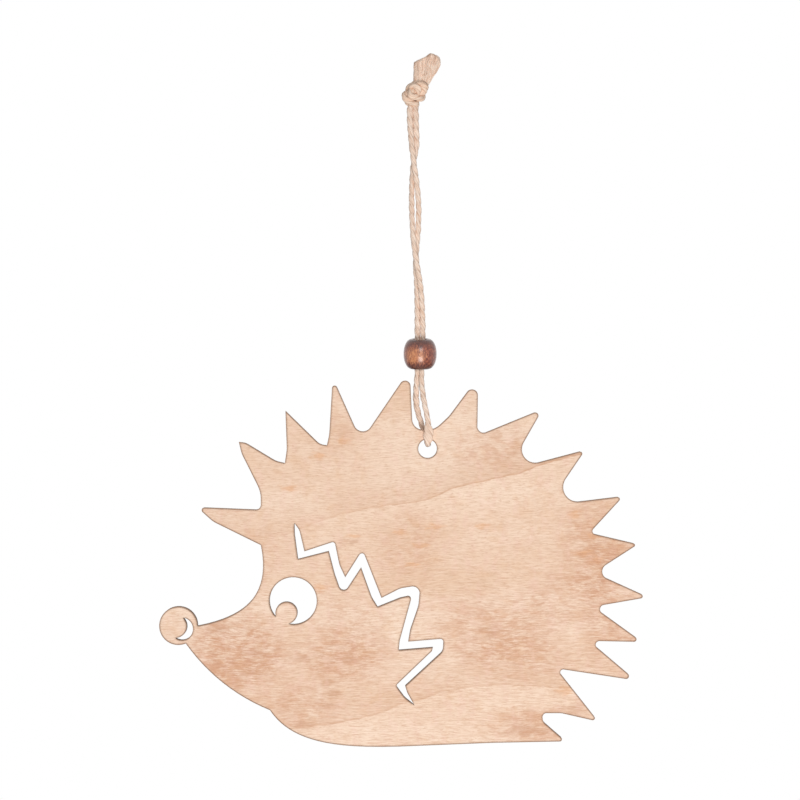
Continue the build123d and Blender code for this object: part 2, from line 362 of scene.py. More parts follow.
# %% Sweep the ridged plies along part of the line
def spin_plies(heap, line, run, first, last, random, swell, flat=None):
    """Adds the plies between two points of the line, swollen all round and flattened to the sides."""
    forward, sideways, upward = carry_along(line, (0, 1, 0))
    count = last - first
    angle = np.linspace(0, 2 * math.pi, PLY_SIDES, endpoint=False)
    sideways_only = np.ones(count) if flat is None else flat
    for ply in range(PLIES):
        turn = 2 * math.pi * (run[first:last] / (LAY_LENGTH * MM) + ply / PLIES)
        away = np.cos(turn)[:, None] * sideways[first:last] + np.sin(turn)[:, None] * upward[first:last]
        across = np.cross(forward[first:last], away)
        middle = line[first:last] + away * (PLY_OFFSET * MM * swell)[:, None]
        thick = PLY_RADIUS * swell * (1 + PLY_UNEVEN * smooth_noise(random, count, PLY_UNEVEN_STEPS))
        ridge_turn = FIBRE_RIDGES * angle[None, :] - RIDGE_LAG * turn[:, None]
        wander = np.stack([smooth_noise(random, count, SKIN_UNEVEN_STEPS) for _ in range(PLY_SIDES)], axis=1)
        radius = thick[:, None] * (1 + RIDGE_DEPTH * np.cos(ridge_turn) + SKIN_UNEVEN * wander)
        out, over = radius * np.cos(angle), radius * np.sin(angle)
        ring = (middle[:, None, :] + MM * out[:, :, None] * away[:, None, :]
                + MM * over[:, :, None] * across[:, None, :])
        ring[..., 0] += (ring[..., 0] - line[first:last, None, 0]) * (sideways_only[:, None] - 1)
        along = np.broadcast_to(run[first:last, None] / MM, radius.shape)
        heap.add_rings(ring, np.stack([out + PLIES_APART * ply, over, along], axis=-1))


# %% One thin fibre along a few points
FIBRE_SIDES = 3
FIBRE_TIP = 0.5
FIBRE_PLACES = 40


def hair_tube(heap, path, radius, random):
    _, sideways, upward = carry_along(path, (0.3, 0.8, 0.5))
    angle = np.linspace(0, 2 * math.pi, FIBRE_SIDES, endpoint=False)
    taper = np.linspace(1, FIBRE_TIP, len(path)) * radius * MM
    ring = path[:, None, :] + taper[:, None, None] * (
        np.cos(angle)[None, :, None] * sideways[:, None, :] + np.sin(angle)[None, :, None] * upward[:, None, :]
    )
    run = np.linspace(0, np.linalg.norm(path[-1] - path[0]) / MM, len(path))
    own = random.uniform(0, FIBRE_PLACES, 2)
    straight = np.stack([np.full(len(path), own[0]), np.full(len(path), own[1]), run], axis=-1)
    heap.add_rings(ring, np.broadcast_to(straight[:, None, :], ring.shape))


# %% Loose fibres that stand off the twine
FUZZ_RADIUS = 0.03
FUZZ_POINTS = 6
FUZZ_REACH = 0.35
FUZZ_STEPS = (7, 17)
FUZZ_END_ROOM = (4, 24)


def fuzz(heap, line, first, last, count, random):
    """Adds fibres that leave the twine's skin at a low angle and lie along it."""
    _, sideways, upward = carry_along(line, (0, 1, 0))
    for _ in range(count):
        at = random.integers(first + FUZZ_END_ROOM[0], last - FUZZ_END_ROOM[1])
        turn = random.uniform(0, 2 * math.pi)
        steps = int(random.uniform(*FUZZ_STEPS))
        path = []
        for step in np.linspace(0, 1, FUZZ_POINTS):
            here = at + int(step * steps)
            side = np.cos(turn - step) * sideways[here] + np.sin(turn - step) * upward[here]
            lift = PLY_OFFSET + PLY_RADIUS * (0.9 + FUZZ_REACH * step * step)
            path.append(line[here] + side * lift * MM)
        hair_tube(heap, np.array(path), FUZZ_RADIUS, random)


# %% A helper that makes a mesh object
def make_object(name, points, faces, straight=None):
    mesh = bpy.data.meshes.new(name)
    mesh.from_pydata([tuple(point) for point in points], [], faces)
    mesh.polygons.foreach_set("use_smooth", [True] * len(mesh.polygons))
    if straight is not None:
        layer = mesh.attributes.new("straight_place", "FLOAT_VECTOR", "POINT")
        layer.data.foreach_set("vector", np.ascontiguousarray(straight * MM, dtype=np.float32).ravel())
    mesh.update()
    made = bpy.data.objects.new(name, mesh)
    bpy.context.scene.collection.objects.link(made)
    print(f"{name}: {len(mesh.vertices)} points, {len(mesh.polygons)} faces")
    return made


def make_from_heap(name, heap):
    return make_object(name, np.concatenate(heap.points), heap.faces, np.concatenate(heap.straight))


# %% Where the hanging twine opens and where it is pressed flat
NECK_SWELL, NECK_REACH = 0.16, 9.0
BACK_SWELL, BACK_REACH, BACK_PLACE = 0.13, 4.0, (0.9, 1.6, -86.0)
FLAT, FLAT_REACH, FLAT_PLACE = 0.9, 2.3, (4.4, -2.2, -95.2)
FUZZ_COUNT = 110
SEED = 7

random = np.random.default_rng(SEED)
hang_first, hang_last = knot_exit, knot_return + 1


def close_to(place_mm, reach):
    """1 at one place of the hanging twine, falling to 0 beyond some reach along it, in millimetres."""
    away = np.abs(np.arange(hang_first, hang_last) - nearest(twine_line, place_mm)) * LINE_STEP
    return np.exp(-(away / reach) ** 2)


hanging_swell = (
    1 + NECK_SWELL * (close_to(hanging_line[0] / MM, NECK_REACH) + close_to(hanging_line[-1] / MM, NECK_REACH))
    + BACK_SWELL * close_to(BACK_PLACE, BACK_REACH)
)
hanging_flat = 1 + FLAT * close_to(FLAT_PLACE, FLAT_REACH)
print(f"the twine swells up to {hanging_swell.max():.2f} times and widens up to {hanging_flat.max():.2f} times")

# %% Spin the hanging twine
heap = Heap()
spin_plies(heap, twine_line, run_lengths, hang_first, hang_last, random, hanging_swell, hanging_flat)
fuzz(heap, twine_line, hang_first, hang_last, FUZZ_COUNT, random)
jute_twine = make_from_heap("jute_twine", heap)

# %% [markdown]
# ## The knot and its tails
#
# The same twine runs on through the overhand knot, so its plies simply go on there. Past the knot the cut ends
# have opened into one pale brush. Each end is a bundle of thin fibres in three tufts, one for each ply, that still
# turn a little round each other. The bundle is narrow at its foot and wide at its cut, and one cut is slanted.
#
# Thousands of single fibres would be slow, so each tail is a closed core with ridges and grooves, and a few hundred
# real fibres lie on it. They wave and cross each other, because a cut end of jute is matted, not combed.

# %% The knot, both strands of it
KNOT_SWELL = 0.24
SWELL_REACH = 2.0
heap = Heap()
for first, last in ((0, knot_exit + 1), (knot_return, len(twine_line))):
    inside = np.minimum(np.arange(last - first), np.arange(last - first)[::-1]) * LINE_STEP / SWELL_REACH
    swell = 1 + NECK_SWELL + (KNOT_SWELL - NECK_SWELL) * (1 - np.exp(-inside ** 2))
    spin_plies(heap, twine_line, run_lengths, first, last, random, swell)
overhand_knot = make_from_heap("overhand_knot", heap)

# %% Where each tail starts and ends, how wide it is there, and how its cut is slanted (degrees) and rounded
TAILS = {
    "left_frayed_tail": {"foot": (1.45, -0.30, 7.8), "end": (2.95, -0.30, 15.35), "foot_half": 1.25,
                         "end_half": 2.2, "slant": 36, "rounding": 0.0},
    "right_frayed_tail": {"foot": (3.15, -0.30, 7.8), "end": (6.55, -0.30, 16.2), "foot_half": 1.3,
                          "end_half": 2.4, "slant": -4, "rounding": 1.7},
}
TAIL_STEPS = 13
TAIL_OPENING = 0.8
TAIL_DEPTH = 0.55
TUFTS = 3
TUFT_TURN = -0.9
TUFT_GROOVE = 0.20
CORE_SHARE = 0.96
CORE_SIDES = 72
CORE_RIDGES = 13
CORE_RIDGE_DEPTH = 0.018
CORE_UNEVEN = 0.02
CORE_STRAIGHT_RADIUS = 2.0


# %% The form of a tail
class TailForm:
    """A bundle that opens from its foot to its cut; its step goes from 0 at the foot to 1 at the cut."""

    def __init__(self, measures, random):
        self.foot, end = np.array(measures["foot"]), np.array(measures["end"])
        self.length = np.linalg.norm(end - self.foot)
        self.axis = (end - self.foot) / self.length
        self.side = unit(np.cross((0, 1, 0), self.axis))
        self.depth = np.cross(self.axis, self.side)
        self.slope = math.tan(math.radians(measures["slant"])) * np.sign(self.side[0])
        self.rounding = measures["rounding"]
        self.step = np.linspace(0, 1, TAIL_STEPS)
        wider = measures["end_half"] - measures["foot_half"]
        self.half = measures["foot_half"] + wider * self.step ** TAIL_OPENING
        self.phase = random.uniform(0, 2 * math.pi)

    def skin(self, angle):
        """How far out the core's skin is, with a groove between the tufts, as a share of the half width."""
        twisted = angle - TUFT_TURN * (self.step - 1) + self.phase
        groove = TUFT_GROOVE * (1 - np.abs(np.sin(TUFTS * twisted / 2))) ** 2
        ridges = CORE_RIDGE_DEPTH * np.cos(CORE_RIDGES * TUFTS * twisted / 2)
        return CORE_SHARE * (1 - groove + ridges + CORE_UNEVEN * np.sin(9 * self.step + 5 * twisted))

    def path(self, angle, away, stretch):
        """The places from the foot to the cut at an angle and a distance from the bundle's middle."""
        across = away * self.half * np.cos(angle)
        into = away * self.half * TAIL_DEPTH * np.sin(angle)
        rounded = self.rounding * (across[-1] / self.half[-1]) ** 4
        reach = self.length + self.slope * across[-1] + stretch - rounded
        return (self.foot + np.outer(self.step * reach, self.axis) + np.outer(across, self.side)
                + np.outer(into, self.depth))


# %% The core of a tail
def add_core(heap, form):
    angles = np.linspace(0, 2 * math.pi, CORE_SIDES, endpoint=False)
    core = []
    for angle in angles:
        turned = angle + TUFT_TURN * (form.step - 1)
        core.append(form.path(turned, form.skin(turned), 0.0))
    core = np.array(core).transpose(1, 0, 2)[:, ::-1]
    angles = angles[None, ::-1]
    straight = np.stack(np.broadcast_arrays(
        CORE_STRAIGHT_RADIUS * np.cos(angles), CORE_STRAIGHT_RADIUS * np.sin(angles),
        form.step[:, None] * form.length), axis=-1)
    heap.add_rings(core * MM, straight)


# %% The loose fibres on a tail's core
TAIL_FIBRES = 260
TAIL_FIBRE_RADIUS = 0.10
TAIL_FIBRE_THICKNESS = (0.7, 1.3)
FIBRE_OUT = (0.96, 1.06)
FIBRE_WAVE = 0.11
FIBRE_WAVES = 5
FIBRE_SWAY = 0.13
CUT_ROUGHNESS = 0.14
FIBRE_PAST_CORE = 0.05


def add_tail_fibres(heap, form, random):
    for _ in range(TAIL_FIBRES):
        angle = random.uniform(0, 2 * math.pi) + TUFT_TURN * (form.step - 1)
        own = random.uniform(0, 2 * math.pi)
        angle = angle + FIBRE_SWAY * np.sin((FIBRE_WAVES + own) * form.step + 3 * own)
        wave = FIBRE_WAVE * np.sin(FIBRE_WAVES * form.step + own) * form.step
        away = form.skin(angle) * random.uniform(*FIBRE_OUT) + wave
        path = form.path(angle, away, random.uniform(-CUT_ROUGHNESS, CUT_ROUGHNESS) + FIBRE_PAST_CORE)
        hair_tube(heap, path * MM, TAIL_FIBRE_RADIUS * random.uniform(*TAIL_FIBRE_THICKNESS), random)


# %% Make both tails
def fray(measures, random):
    heap = Heap()
    form = TailForm(measures, random)
    add_core(heap, form)
    add_tail_fibres(heap, form, random)
    return heap


frayed_tails = [make_from_heap(name, fray(tail, random)) for name, tail in TAILS.items()]

# %% [markdown]
# ## The turned bead
#
# The bead is turned on a lathe: nearly a ball, a little fuller at its shoulders, with a rounded lip round its bore.
# A squashed sphere would have neither, so one profile is drawn and turned round the axis, as on a lathe. The bead
# hangs a little askew on the twine, with its top towards the viewer, so the turned points are tilted about the length
# of the plate. Each point remembers its place in the upright bead, so that the grain runs with the bore.

# %% Draw the bead's profile, as distance from the axis and height in millimetres
BEAD_HALF_HEIGHT = 4.40
BEAD_HALF_WIDTH = 4.88
BORE_HALF = 2.15
LIP_ROUNDING = 0.45
BORE_WALL_TOP = 2.0
SHOULDER_REACH = 3.70
BELLY_RISE = 2.75
LIP_STEPS = 7
PROFILE_STEPS = 18


def bead_profile():
    """One side of the bead's section, from the middle of its bore over the top to the middle of its belly."""
    lip_out = BORE_HALF + LIP_ROUNDING
    lip_angle = np.linspace(math.pi, math.pi / 2, LIP_STEPS)
    lip = np.stack([lip_out + LIP_ROUNDING * np.cos(lip_angle),
                    BEAD_HALF_HEIGHT - LIP_ROUNDING * (1 - np.sin(lip_angle))], axis=1)
    share = np.linspace(0, 1, PROFILE_STEPS)[1:, None]
    start, first, second, last = (np.array(point) for point in (
        (lip_out, BEAD_HALF_HEIGHT), (SHOULDER_REACH, BEAD_HALF_HEIGHT),
        (BEAD_HALF_WIDTH, BELLY_RISE), (BEAD_HALF_WIDTH, 0.0)))
    side = ((1 - share) ** 3 * start + 3 * (1 - share) ** 2 * share * first
            + 3 * (1 - share) * share ** 2 * second + share ** 3 * last)
    return np.concatenate([[(BORE_HALF, 0.0)], [(BORE_HALF, BORE_WALL_TOP)], lip, side])


upper = bead_profile()
profile = np.concatenate([upper, (upper * (1, -1))[-2:0:-1]])
print("bead profile of", len(profile), "points")

# %% Turn the profile and tilt the bead
BEAD_TILT = 7.0
BEAD_TURNS = 96

bead_low, bead_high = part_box("bead")
bead_middle = (bead_low + bead_high) / 2
around = np.linspace(0, 2 * math.pi, BEAD_TURNS, endpoint=False)
bead_points = np.stack([np.outer(np.cos(around), profile[:, 0]), np.outer(np.sin(around), profile[:, 0]),
                        np.broadcast_to(profile[:, 1], (BEAD_TURNS, len(profile)))], axis=-1)
tilt = math.radians(BEAD_TILT)
tilting = np.array([[1, 0, 0], [0, math.cos(tilt), math.sin(tilt)], [0, -math.sin(tilt), math.cos(tilt)]])
bead_places = (bead_points @ tilting).reshape(-1, 3) * MM + np.array(bead_middle)

# %% Join the turned points with faces
bead_faces = []
for turn in range(BEAD_TURNS):
    for row in range(len(profile)):
        here, there = turn * len(profile), (turn + 1) % BEAD_TURNS * len(profile)
        after = (row + 1) % len(profile)
        bead_faces.append((here + row, here + after, there + after, there + row))
turned_bead = make_object("turned_bead", bead_places, bead_faces, bead_points.reshape(-1, 3))

# %% [markdown]
# ## Materials
#
# Each finish is a small tree of shader nodes, built with a few helpers. Colours are written as they look, from 0 to
# 255, and turned into the values that light is reckoned with.

# %% Helpers for the shader trees
def shade(red, green, blue):
    """A colour as it looks on a screen, as the linear colour that the renderer uses."""
    def linear(value):
        value = value / 255
        return value / 12.92 if value <= 0.04045 else ((value + 0.055) / 1.055) ** 2.4
    return (linear(red), linear(green), linear(blue), 1)


class Finish:
    """A material whose tree is built up node by node."""

    def __init__(self, name, roughness, specular):
        self.material = bpy.data.materials.new(name)
        self.material.use_nodes = True
        self.tree = self.material.node_tree
        self.shader = self.tree.nodes["Principled BSDF"]
        self.shader.inputs["Roughness"].default_value = roughness
        self.shader.inputs["Specular IOR Level"].default_value = specular

    def node(self, kind, inputs=None, **settings):
        made = self.tree.nodes.new("ShaderNode" + kind)
        for name, value in settings.items():
            setattr(made, name, value)
        for name, value in (inputs or {}).items():
            self.feed(made.inputs[name], value)
        return made

    def feed(self, socket, value):
        if isinstance(value, bpy.types.NodeSocket):
            self.tree.links.new(value, socket)
        else:
            socket.default_value = value

    def math(self, operation, first, second=0.0):
        return self.node("Math", {0: first, 1: second}, operation=operation).outputs[0]

    def span(self, value, low, high, to_low=0.0, to_high=1.0, **settings):
        """The share of the way from low to high, or the value as far from to_low to to_high."""
        return self.node("MapRange", {"Value": value, "From Min": low, "From Max": high,
                                      "To Min": to_low, "To Max": to_high}, **settings).outputs[0]

    def ramp(self, factor, stops):
        made = self.node("ValToRGB", {"Fac": factor})
        elements = made.color_ramp.elements
        while len(elements) < len(stops):
            elements.new(0.5)
        for element, (place, value) in zip(elements, stops):
            element.position = place
            element.color = value if isinstance(value, tuple) else (value, value, value, 1)
        return made.outputs[0]

    def mix(self, factor, first, second, blend="MIX"):
        made = self.node("Mix", data_type="RGBA", blend_type=blend)
        self.feed(made.inputs["Factor"], factor)
        self.feed(made.inputs[6], first)
        self.feed(made.inputs[7], second)
        return made.outputs[2]

    def noise(self, place, size_mm, detail=2.0, roughness=0.5, seed=0.0, distortion=0.0):
        """Noise whose grain is so many millimetres along X, Y and Z."""
        scale = [1 / (size * MM) for size in size_mm]
        moved = self.node("Mapping", {"Vector": place, "Scale": scale, "Location": (seed, seed * 0.7, seed * 1.3)})
        return self.node("TexNoise", {
            "Vector": moved.outputs[0], "Scale": 1.0, "Detail": detail, "Roughness": roughness,
            "Distortion": distortion,
        }).outputs[0]

    def bump(self, height, distance_mm, strength=1.0):
        made = self.node("Bump", {"Height": height, "Strength": strength, "Distance": distance_mm * MM})
        self.feed(self.shader.inputs["Normal"], made.outputs[0])

    def colour(self, value):
        self.feed(self.shader.inputs["Base Color"], value)

    def place(self):
        return self.node("TexCoord").outputs["Object"]

    def straight_place(self):
        return self.node("Attribute", attribute_name="straight_place").outputs["Vector"]


# %% [markdown]
# ### Jute
#
# Natural jute is a pale pinkish tan, a little different from fibre to fibre. A noise in plain space would cut across
# the turns, so it is read at the straight place of each point, and it is far longer along the twine than across it:
# so its fibres follow each ply. The knot's turns throw their own warm light on each other, and the frayed ends let
# light through, so the knot's jute is a little warmer and that of the ends a little paler.


# %% Make the jute of the twine, of its knot and of its frayed ends
def make_jute(name, dark, middling, pale):
    jute = Finish(name, roughness=0.9, specular=0.12)
    place = jute.straight_place()
    fibres = jute.noise(place, (0.16, 0.16, 3.0), detail=3, roughness=0.55)
    tone = jute.noise(place, (2.5, 2.5, 9), detail=1, seed=3)
    colour = jute.ramp(fibres, [(0.32, shade(*dark)), (0.50, shade(*middling)), (0.68, shade(*pale))])
    colour = jute.mix(jute.ramp(tone, [(0.40, 0.0), (0.75, 0.4)]), colour, shade(230, 192, 164))
    flecks = jute.noise(place, (0.22, 0.22, 0.9), detail=1, seed=8)
    colour = jute.mix(jute.ramp(flecks, [(0.70, 0.0), (0.80, 0.5)]), colour, shade(178, 134, 104))
    jute.colour(colour)
    jute.bump(fibres, 0.06)
    return jute


spun_jute = make_jute("natural_jute", (206, 168, 143), (241, 217, 199), (253, 238, 224))
knotted_jute = make_jute("knotted_jute", (206, 165, 136), (241, 213, 191), (253, 234, 216))
frayed_jute = make_jute("frayed_jute", (218, 176, 147), (251, 223, 203), (255, 243, 228))

# %% [markdown]
# ### The bead's stained wood
#
# The bead is turned from a close-grained wood, stained reddish brown and lacquered. It is darker towards both ends
# of its bore: the stain sits darker on the end grain there, and painted shade darkens the shoulders that turn away
# from the lamps. One side lets a warm orange patch of face grain through, and the patch is widened over the front
# middle, where it also paints light round the lamps' highlight. Dark pores speckle it. One even brown would look like
# plastic, so the grain, the patch, the pores and the dark ends lie over each other. The wood itself could be made
# smooth, but a lacquer is a smooth film on duller wood, so it is a clear coat, in which the lamps and the white room
# are mirrored.

# %% Grain of the bead
bead_wood = Finish("stained_bead_wood", roughness=0.5, specular=0.4)
place = bead_wood.straight_place()
grain = bead_wood.noise(place, (0.42, 0.42, 1.2), detail=4, roughness=0.65, distortion=0.3)
colour = bead_wood.ramp(grain, [(0.34, shade(76, 28, 18)), (0.50, shade(132, 62, 42)), (0.66, shade(194, 116, 84))])

# %% Its orange patch, widened over the front middle as painted light
patch_place = bead_wood.node("Mapping", {
    "Vector": place, "Location": (-1.5 * MM, -4.1 * MM, -0.3 * MM), "Scale": (3.5 * MM, 3.5 * MM, 2.7 * MM)},
    vector_type="TEXTURE")
patch_away = bead_wood.node("VectorMath", {0: patch_place.outputs[0]}, operation="LENGTH").outputs["Value"]
patch_away = bead_wood.math("ADD", patch_away, bead_wood.math("MULTIPLY", grain, -0.7))
# The patch reaches over the front middle of the bead, so part of it is painted light round the lamps' highlight.
patch_and_painted_light = bead_wood.ramp(patch_away, [(0.10, 0.8), (0.75, 0.0)])
warm_grain_and_painted_light = bead_wood.ramp(grain, [(0.35, shade(176, 98, 58)), (0.62, shade(224, 154, 102))])
colour = bead_wood.mix(patch_and_painted_light, colour, warm_grain_and_painted_light)

# %% Its pores, its dark ends with their painted shade, and its lacquer
pores = bead_wood.noise(place, (0.36, 0.36, 0.5), detail=2, roughness=0.6, seed=4)
colour = bead_wood.mix(bead_wood.ramp(pores, [(0.55, 0.0), (0.66, 0.75)]), colour, shade(90, 34, 22))
# The ends are darker: the stain on the end grain, and painted shade on the shoulders that turn away from the lamps.
height = bead_wood.math("ABSOLUTE", bead_wood.node("SeparateXYZ", {"Vector": place}).outputs["Z"])
colour = bead_wood.mix(bead_wood.span(height, 1.8 * MM, 4.0 * MM, 0.0, 0.8), colour, shade(64, 28, 20))
bead_wood.colour(colour)
bead_wood.bump(grain, 0.02)
bead_wood.shader.inputs["Coat Weight"].default_value = 1.0
bead_wood.shader.inputs["Coat Roughness"].default_value = 0.24
print("the bead's wood has", len(bead_wood.tree.nodes), "nodes")

# %% [markdown]
# ### The plate's faces
#
# The face is rotary-cut light wood: a long ribbon peeled off a turning log. So it has broad soft changes of tone,
# very fine streaks along the length, short darker flecks, and a few growth lines, each with a streaky darker side
# over it and a smooth pale side under it. Where the knife has torn the grain, zones of the face are blotched, redder
# and streakier. Warm and pale stains lie here and there.
#
# A picture of such wood could be laid on the plate, but it would smear on the cut walls and blur at close range. So
# the tree builds the face up layer by layer, each a noise with its own grain size along X, Y and Z. A growth line is
# drawn as a curve of height over length, and the shader turns the distance to it into colour. A stain and a blotched
# zone are ellipses with ragged edges.

# %% Growth lines and stains of the two faces, in millimetres
FRONT_LINES = [
    (0.35, 1.0, [(-75, -129), (-48, -126.2), (-36.5, -124.4), (-24, -119.7), (-6.5, -116.5), (3.2, -114.7),
                 (16.5, -110), (27.6, -107.6), (37, -104.7), (43.5, -102.9), (75, -97)]),
    (0.75, 0.6, [(-75, -186), (-31.5, -181.8), (-11, -177.6), (-0.9, -174.4), (5, -172.4), (13.8, -170.3),
                 (22, -169.3), (41, -170), (75, -172)]),
]
BACK_LINES = [
    (0.7, 0.5, [(-75, -112), (-40, -113.5), (-10, -118), (20, -126), (45, -131), (75, -134)]),
    (0.4, 0.7, [(-75, -150), (-30, -153), (0, -160), (30, -170), (75, -178)]),
]
ORANGE, BROWN, PALE = (229, 173, 127), (208, 163, 133), (248, 224, 204)
FRONT_STAINS = [
    (47.6, -119.1, 2.6, 1.3, ORANGE), (53.5, -125.3, 2.2, 1.0, ORANGE), (50.6, -130.3, 3.2, 1.2, ORANGE),
    (54.1, -132.4, 2.0, 1.0, ORANGE), (6.5, -122.6, 3.0, 0.9, ORANGE), (2.1, -128.2, 2.6, 1.0, ORANGE),
    (-0.6, -133.8, 2.8, 0.9, ORANGE), (-3.8, -124.1, 2.4, 1.0, ORANGE), (20.6, -122.4, 2.2, 1.0, ORANGE),
    (-27.6, -101.8, 2.6, 1.2, ORANGE), (-20.9, -97.4, 2.4, 1.2, ORANGE), (-18.5, -126.8, 3.2, 0.9, BROWN),
    (-17.4, -125.3, 2.4, 0.7, ORANGE), (-36.2, -111.2, 2.8, 1.2, ORANGE), (-24.7, -168.5, 3.0, 1.3, BROWN),
    (-27.1, -140.6, 2.4, 1.4, ORANGE), (44.7, -170.9, 3.0, 1.4, ORANGE), (47.9, -176.5, 4.0, 2.6, BROWN),
    (34.4, -182.4, 9.0, 1.8, BROWN), (22.6, -153.5, 4.4, 2.4, BROWN), (-57.6, -152.4, 3.6, 1.8, BROWN),
    (-46.8, -159.7, 4.2, 1.4, BROWN), (-47.9, -165.9, 3.6, 1.2, BROWN), (-32.9, -161.2, 3.4, 1.4, BROWN),
    (-19.4, -161.8, 3.2, 1.4, BROWN), (-23.2, -171.4, 2.8, 1.2, BROWN), (-25.6, -175.3, 2.6, 1.0, BROWN),
    (-32.1, -180.6, 3.6, 1.0, BROWN), (-53.5, -157.6, 2.4, 0.8, PALE), (-40.3, -161.8, 2.2, 0.8, PALE),
    (-29.4, -178.2, 2.2, 0.8, PALE), (-49.1, -152.6, 2.0, 0.8, PALE), (-41.8, -158.6, 2.2, 0.7, PALE),
    (-27.6, -171.8, 1.0, 3.4, PALE), (-30.3, -176.4, 1.2, 2.6, PALE), (-24.1, -158.2, 2.6, 0.9, PALE),
]
BACK_STAINS = [
    (-38, -126, 5.0, 1.4, ORANGE), (-8, -104, 4.0, 1.2, BROWN), (22, -145, 6.0, 1.6, BROWN),
    (41, -120, 3.4, 1.2, ORANGE), (4, -168, 5.0, 1.0, ORANGE), (-50, -158, 4.0, 1.4, BROWN),
]
FRONT_ZONES = [
    (64, -138, 18, 22, 0.42), (46, -143, 15, 9, 0.40), (30, -161, 18, 8, 0.42), (-44, -130, 10, 9, 0.22),
    (24, -99, 14, 9, 0.34), (-18, -150, 13, 8, 0.34),
    (-52, -160, 19, 15, 0.76), (-34, -175, 15, 8, 0.46), (-20, -161, 17, 9, 0.60), (53, -127, 13, 17, 0.45),
    (37, -181, 16, 6, 0.60), (24, -152, 22, 12, 0.45), (-1, -128, 12, 13, 0.28), (-24, -95, 9, 8, 0.22),
    (-60, -120, 14, 7, 0.20), (60, -155, 12, 12, 0.40),
]
BACK_ZONES = [(48, -158, 16, 14, 0.40), (-36, -120, 18, 16, 0.35), (4, -172, 22, 8, 0.40)]
LINE_SPAN = (-75, 75)
LINE_HEIGHTS = (-190, -90)
LINE_REACH = 15


# %% Colour along a growth line
def add_growth_line(wood, place, colour, line, wobble):
    """The colour with one growth line in it: pale under the line, darker and pinker over it."""
    left_strength, right_strength, points = line
    sides = wood.node("SeparateXYZ", {"Vector": place}).outputs
    share = wood.span(sides["X"], LINE_SPAN[0] * MM, LINE_SPAN[1] * MM)
    drawn = wood.node("FloatCurve", {"Value": share})
    curve = drawn.mapping.curves[0]
    for _ in range(len(points) - 2):
        curve.points.new(0.5, 0.5)
    for handle, (x, z) in zip(curve.points, points):
        handle.location = (np.interp(x, LINE_SPAN, (0, 1)), np.interp(z, LINE_HEIGHTS, (0, 1)))
    drawn.mapping.update()
    height = wood.span(drawn.outputs[0], 0.0, 1.0, LINE_HEIGHTS[0] * MM, LINE_HEIGHTS[1] * MM)
    over = wood.math("ADD", wood.math("SUBTRACT", sides["Z"], height), wobble)
    reach = wood.span(over, -LINE_REACH * MM, LINE_REACH * MM)
    clear = wood.ramp(share, [(0.25, left_strength), (0.62, right_strength)])
    under = wood.ramp(reach, [(0.05, 0.0), (0.40, 0.45), (0.495, 0.65), (0.505, 0.0)])
    above = wood.ramp(reach, [(0.494, 0.0), (0.503, 0.85), (0.520, 0.36), (0.88, 0.0)])
    colour = wood.mix(wood.math("MULTIPLY", under, clear), colour, shade(246, 219, 196))
    return wood.mix(wood.math("MULTIPLY", above, clear), colour, shade(210, 163, 129))


# %% How far a point is from the middle of an ellipse, where 1 is on its rim
def away_from(wood, place, x, z, half_width, half_height):
    moved = wood.node("Mapping", {
        "Vector": place, "Location": (x * MM, 0, z * MM), "Scale": (half_width * MM, 1, half_height * MM)},
        vector_type="TEXTURE")
    return wood.node("VectorMath", {0: moved.outputs[0]}, operation="LENGTH").outputs["Value"]


def fading(wood, away, full_until, gone_from, strength):
    """The strength up to one distance, and nothing beyond another."""
    return wood.span(away, full_until, gone_from, strength, 0.0, interpolation_type="SMOOTHSTEP")


# %% The broad tone, with the growth lines in it
def grown_tone(wood, place, seed, lines):
    broad = wood.noise(place, (50, 20, 14), detail=3, roughness=0.55, seed=seed)
    colour = wood.ramp(broad, [(0.34, shade(234, 201, 174)), (0.50, shade(240, 210, 186)),
                               (0.66, shade(245, 219, 197))])
    uneven = wood.noise(place, (9, 9, 4), detail=3, seed=seed + 1)
    wobble = wood.math("MULTIPLY", wood.math("SUBTRACT", uneven, 0.5), 3.0 * MM)
    for line in lines:
        colour = add_growth_line(wood, place, colour, line, wobble)
    return colour


# %% The blotched zones, where the knife has torn the grain
def add_torn_zones(wood, place, seed, colour, zones):
    """The colour with the zones in it, and how torn the grain is at each point."""
    blotched = wood.noise(place, (4.8, 8, 2.5), detail=5, roughness=0.66, seed=seed + 6, distortion=0.4)
    blotches = wood.ramp(blotched, [(0.46, 0.0), (0.59, 1.0)])
    pale_breaks = wood.ramp(blotched, [(0.38, 0.55), (0.47, 0.0)])
    torn = 0.0
    for *ellipse, strength in zones:
        inside = fading(wood, away_from(wood, place, *ellipse), 0.35, 1.15, strength)
        torn = wood.math("ADD", torn, inside)
        colour = wood.mix(wood.math("MULTIPLY", inside, blotches), colour, shade(212, 156, 120))
        colour = wood.mix(wood.math("MULTIPLY", inside, pale_breaks), colour, shade(247, 219, 202))
    return wood.mix(wood.math("MULTIPLY", torn, 0.22), colour, shade(222, 176, 142)), torn


# %% The stains
def add_stains(wood, place, seed, colour, stains):
    ragged = wood.noise(place, (2.4, 2.4, 0.8), detail=3, roughness=0.6, seed=seed + 2)
    ragged = wood.math("MULTIPLY", wood.math("SUBTRACT", ragged, 0.5), 2.6)
    for *ellipse, tint in stains:
        away = wood.math("ADD", away_from(wood, place, *ellipse), ragged)
        colour = wood.mix(fading(wood, away, 0.2, 1.3, 0.60), colour, shade(*tint))
    return colour


# %% Soft mottles, and the pinkish figure that stands upright in the streaks
def add_mottles(wood, place, seed, colour):
    mottle = wood.noise(place, (5, 5, 5), detail=5, roughness=0.7, seed=seed + 5, distortion=0.3)
    colour = wood.mix(wood.ramp(mottle, [(0.52, 0.0), (0.68, 0.36)]), colour, shade(226, 182, 144))
    figure = wood.noise(place, (2.6, 4, 6), detail=3, roughness=0.6, seed=seed + 7)
    return wood.mix(wood.ramp(figure, [(0.50, 0.0), (0.66, 0.30)]), colour, shade(240, 200, 184))


